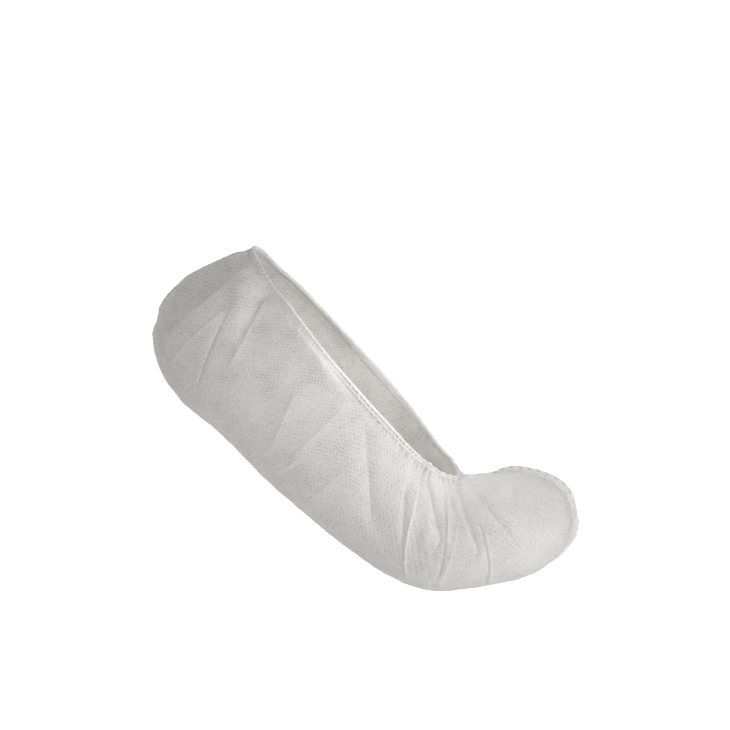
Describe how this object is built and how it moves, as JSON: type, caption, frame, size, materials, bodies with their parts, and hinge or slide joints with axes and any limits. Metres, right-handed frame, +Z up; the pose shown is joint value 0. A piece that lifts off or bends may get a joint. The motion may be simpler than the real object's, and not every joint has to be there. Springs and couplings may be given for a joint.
{
  "type": "disposable sock",
  "caption": "Slip-on disposable sock of thin white non-woven cloth in its worn form, with an elastic hem round the opening, gathers below it and overlocked seams at toe and heel.",
  "frame": {"origin": "middle of the opening for the foot", "axes": "+X from the heel towards the toe, +Y towards the far side of the sock, +Z up; the heel is raised as in the worn pose"},
  "size_m": [0.1963, 0.0916, 0.1519],
  "materials": {
    "nonwoven_cloth": "white spunbond non-woven, matt, finely embossed",
    "hem_cloth": "white folded and stitched elastic hem, matt",
    "seam_cloth": "white overlocked cloth edge, matt"
  },
  "bodies": {
    "root": {"sock_body": "nonwoven_cloth", "opening_hem": "hem_cloth", "toe_seam": "seam_cloth", "heel_seam": "seam_cloth"}
  },
  "joints": []
}
